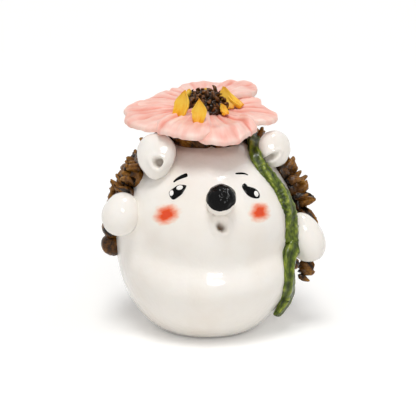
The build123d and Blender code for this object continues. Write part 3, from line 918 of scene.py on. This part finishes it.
def makePetal(index, look):
    common = petalCommon
    rims = [p[0] for p in curveThrough([(r,) for r in look['rims']], common['columns'])]
    rises = [p[0] for p in curveThrough([(r,) for r in look['rise']], common['rows'])]

    def shape(u, v, r, c, side):
        reach = common['root'] + (rims[c] - common['root']) * u
        turn = radians(look['angle'] + v * look['half'] * (1 - 0.06 * u ** 4))
        spot = Vector((cos(turn) * reach, sin(turn) * reach, 0))
        groove = sum(depth * bell(v - at - 0.05 * sin(6 * u + at * 9), 0.09) for at, depth in look['creases'])
        groove *= smoothStep(0, 0.25, u) * (1 - 0.55 * smoothStep(0.75, 1, u))
        tremble = common['tremble'] * wobble(spot, common['grain'], 20 + index) * (0.4 + u)
        tremble += common['wrinkle'] * wobble((v * look['half'] / 4, u * 2.2, index * 5.0), 1, 21)
        rim = 1 - smoothStep(0.0, 0.09, min(1 - u, (1 - abs(v)) * 0.8))
        thick = common['thick'] * (0.85 + 0.35 * u) * (1 - common['lip'] * rim)
        droop = reach ** 2 / 2 / common['droop']
        spot.z = look['lift'] + rises[r] - droop - groove + tremble + thick * side
        # painted shade darkens the creases and the root under the heart; the rims and the raised bumps are paler
        tone = 0.16 + 0.1 * rim - 0.34 * min(groove, 0.8) + 0.16 * tremble - 0.16 * smoothStep(0.5, 0, u)
        return flowerFrame @ spot, v * look['half'] / 70 + index * 3.7, tone

    petal = makeLeaf(f'petal{index + 1}', common['rows'], common['columns'], shape, petalMat)
    seat(petal, 'petal_glaze', f'petal_{index + 1}')


for index, look in enumerate(petalLooks):
    makePetal(index, look)

seatLook = dict(middle=(0, 1.5, 70.2), half=(8.2, 8.2, 5.0))


def seatShape(d):
    p = Vector((d.x * seatLook['half'][0], d.y * seatLook['half'][1], d.z * seatLook['half'][2]))
    return p * (1 + 0.12 * wobble(d * 10, 3, 12)), 0


seat(makeLump('flowerSeat', seatLook['middle'], ((1, 0, 0), (0, 1, 0), (0, 0, 1)), quillMat, seatShape, 24, 36),
     'quill_glaze', 'flower_seat')

heartLook = dict(radius=7.2, rise=4.7, base=2.2, curlScale=0.4, curls=52,
                 shapes=[dict(length=4.4, half=2.4, bend=2.6, twist=1.2, tip=0.95, flat=0.8),
                         dict(length=5.4, half=2.0, bend=-2.8, twist=-1.6, tip=0.9, flat=0.9),
                         dict(length=3.6, half=2.8, bend=1.6, twist=0.6, tip=1.0, flat=0.7)])


def makeHeart():
    look = heartLook
    rows, columns = 22, 44
    points, ridge = [], []

    def dome(a, lift, lump):
        d = Vector((cos(a) * cos(lift), sin(a) * cos(lift), sin(lift)))
        return d, flowerFrame @ Vector((d.x * look['radius'] * lump, d.y * look['radius'] * lump,
                                        look['base'] + d.z * look['rise'] * lump))

    for r in range(rows):
        lift = radians(-12 + 98 * r / (rows - 1))
        for c in range(columns):
            a = 2 * pi * c / columns
            lump = 1 + 0.16 * wobble(dome(a, lift, 1)[0] * 10, 2.6, 14)
            points.append(dome(a, lift, lump)[1])
            # painted shade: darker in the dips between the lumps, lighter on their tops
            ridge.append(1.2 * (lump - 1))
    points += [flowerFrame @ Vector((0, 0, z)) for z in (look['base'] - 1, look['base'] + look['rise'])]
    ridge += [0, 0]
    roots = []
    for k in range(look['curls']):  # an even spiral of curls over the dome
        rise = 0.22 + 0.76 * (k + 0.5) / look['curls']
        d, spot = dome(k * 2.39996, asin(rise), 0.98)
        lean = Vector((d.x, d.y, d.z + 0.35)).normalized()
        roots.append((spot, (flowerFrame.to_3x3() @ lean), (1, 1, 1)))
    shapes = quillCollection('curlShapes', look['shapes'], look['curlScale'])
    tree, sockets = plantTree('plantCurls', shapes, heartMat)
    heart = plantOn('flowerHeart', points, ringFaces(rows, columns), ridge, roots, heartMat, tree, sockets,
                    {'Seed': 5, 'Smallest': 0.65, 'Largest': 1.1})
    seat(heart, 'heart_glaze', 'flower_heart')


makeHeart()

stamenLook = dict(rows=16, columns=11, base=1.8, thick=1.4,
                  leaves=[dict(foot=(-10.6, -9.2), length=9.4, width=7.2, lean=14, facing=228, base=2.2),
                          dict(foot=(-5.0, -15.2), length=8.3, width=6.2, lean=14, facing=262, base=2.4),
                          dict(foot=(4.9, -7.4), length=4.2, width=3.4, lean=24, facing=300),
                          dict(foot=(6.4, -2.4), length=8.0, width=6.8, lean=16, facing=292),
                          dict(foot=(11.0, -1.6), length=9.4, width=4.4, lean=46, facing=330),
                          dict(foot=(0.6, 8.8), length=3.6, width=5.6, lean=12, facing=90),
                          dict(foot=(-6.6, 5.0), length=5.6, width=6.2, lean=20, facing=140)])


def makeStamen(index, leaf):
    look = stamenLook
    length, width, lean = leaf['length'], leaf['width'], radians(leaf['lean'])
    foot = Matrix.Translation((*leaf['foot'], 0)) @ Matrix.Rotation(radians(leaf['facing']), 4, 'Z')
    turn = flowerFrame @ foot

    def shape(u, v, r, c, side):
        ragged = 1 + 0.3 * wobble((u * 9, v, 0), 1.8, 30 + index)
        half = width / 2 * (0.5 + 1.5 * u - 1.95 * u ** 2.0) * ragged
        out = 0.9 * abs(v) ** 1.5 * (1 - u * 0.4) - 0.7 * sin(u * 3.1) + side * look['thick'] * (1.1 - 0.6 * u)
        up = length * u * (1 - 0.06 * v * v)
        x = out * cos(lean) - up * sin(lean)
        y = v * half + 0.8 * sin(u * 2 + index) * u
        z = leaf.get('base', look['base']) + up * cos(lean) + out * sin(lean)
        tone = 0.02 + 0.3 * smoothStep(0, 0.45, u) - 0.25 * smoothStep(0.86, 1, u)
        tone += 0.1 * wobble((u * 9, v * 4, index), 2, 31)
        return turn @ Vector((x, y, z)), v * 0.5 + index * 2.3, tone

    stamen = makeLeaf(f'stamen{index + 1}', look['rows'], look['columns'], shape, stamenMat)
    seat(stamen, 'stamen_glaze', f'stamen_{index + 1}')


for index, leaf in enumerate(stamenLook['leaves']):
    makeStamen(index, leaf)
print('flower made')

# stem: a twisted strand down the side of the body, with a leaf-like swelling beside the arm
stemLook = dict(linePx=[(258, 135), (250.5, 146), (254, 158), (261.4, 168), (270.4, 179), (278, 188.5),
                        (284.4, 200.5), (288.6, 212.5), (290.6, 226.4), (292, 241), (288, 259), (287.6, 280.6),
                        (288.6, 298), (278.2, 319.5)],
                wide=[4.0, 4.4, 5.0, 5.2, 5.4, 6.0, 6.6, 7.2, 8.0, 9.4, 6.8, 6.0, 7.2, 5.4],
                tall=[2.2, 2.4, 2.4, 2.2, 2.1, 2.2, 2.3, 2.4, 2.6, 3.0, 2.5, 2.2, 2.5, 2.2],
                lift=[3.4, 2.2, 0.8] + [0] * 9 + [0.5, 1.4], groove=0.09, twist=30)
stemLine = []
for pixel, lift in zip(stemLook['linePx'], stemLook['lift']):
    spot, normal = onBody(*pixel)
    stemLine.append((spot + normal * lift, normal))
stem = makeStrand('stemStrand', stemLine, stemLook['wide'], stemLook['tall'], stemMat, 40, 260, under=1.0,
                  groove=stemLook['groove'], twist=stemLook['twist'], ends=10)
seat(stem, 'stem_glaze', 'stem')
print('stem made')

# floor, world and lamps: plain soft studio light on white
stageLook = dict(floorSize=6.0, floor='#F6F5F3', worldLight=0.45, glow=0.17)


def backdropRay(tree):  # 1 for rays that show the background: to the eye, in gloss and through glass
    path = addNode(tree, 'LightPath').outputs
    seen = path['Is Camera Ray']
    for label in ('Is Glossy Ray', 'Is Transmission Ray'):
        seen = addNode(tree, 'Math', {'operation': 'MAXIMUM'}, {0: seen, 1: path[label]})
    return seen


def makeStage():
    look = stageLook
    half = look['floorSize'] / 2
    mesh = bpy.data.meshes.new('floor')
    corners = [(-half, -half, 0), (half, -half, 0), (half, half, 0), (-half, half, 0)]
    mesh.from_pydata(corners, [], [(0, 1, 2, 3)])
    floor = bpy.data.objects.new('floor', mesh)
    scene.collection.objects.link(floor)
    material, tree = newMaterial('matt_paper_floor')
    paper = addNode(tree, 'BsdfDiffuse', {'Color': toLinear(look['floor'])})
    strength = addNode(tree, 'Math', {'operation': 'MULTIPLY', 1: look['glow']}, {0: backdropRay(tree)})
    glow = addNode(tree, 'Emission', None, {'Strength': strength})
    both = addNode(tree, 'AddShader', None, {0: paper, 1: glow})
    addNode(tree, 'OutputMaterial', None, {'Surface': both})
    mesh.materials.append(material)
    world = bpy.data.worlds.new('studio')
    world.use_nodes = True
    tree = world.node_tree
    tree.nodes.clear()
    strength = addNode(tree, 'MapRange', {'To Min': look['worldLight'], 'To Max': 1.0},
                       {'Value': backdropRay(tree)})
    sky = addNode(tree, 'Background', {'Color': (1, 1, 1, 1)}, {'Strength': strength})
    addNode(tree, 'OutputWorld', None, {'Surface': sky})
    scene.world = world


# lamps with glints show only in gloss, the others only light the colours
lampLook = [dict(name='key', kind='SUN', at=(-0.08, -0.34, 0.93), spread=24, power=1.42, glints=False),
            dict(name='side', kind='SUN', at=(0.6, 0.1, 0.75), spread=50, power=0.2, glints=False),
            dict(name='window', kind='AREA', at=(-0.02, -0.78, 0.48), spread=(0.3, 0.14), power=0.95, glints=False),
            dict(name='softbox', kind='AREA', at=(0.09, -0.78, 0.46), spread=(0.22, 0.08), power=3.6, glints=True),
            dict(name='glint', kind='AREA', at=(0.2, -0.2, 0.82), spread=(0.08, 0.06), power=4.5, glints=True)]


def makeLamps():
    for lamp in lampLook:
        data = bpy.data.lights.new(lamp['name'], lamp['kind'])
        if lamp['kind'] == 'SUN':
            data.angle = radians(lamp['spread'])
        else:
            data.shape = 'ELLIPSE'
            data.size, data.size_y = lamp['spread']
        data.energy = lamp['power']
        thing = bpy.data.objects.new(lamp['name'], data)
        thing.location = lamp['at']
        aim = Vector((0, 0, 0.04)) - Vector(lamp['at'])
        thing.rotation_mode = 'QUATERNION'
        thing.rotation_quaternion = aim.to_track_quat('-Z', 'Y')
        thing.visible_glossy = lamp['glints']
        thing.visible_diffuse = not lamp['glints']
        scene.collection.objects.link(thing)


makeStage()
makeLamps()
print('stage made')
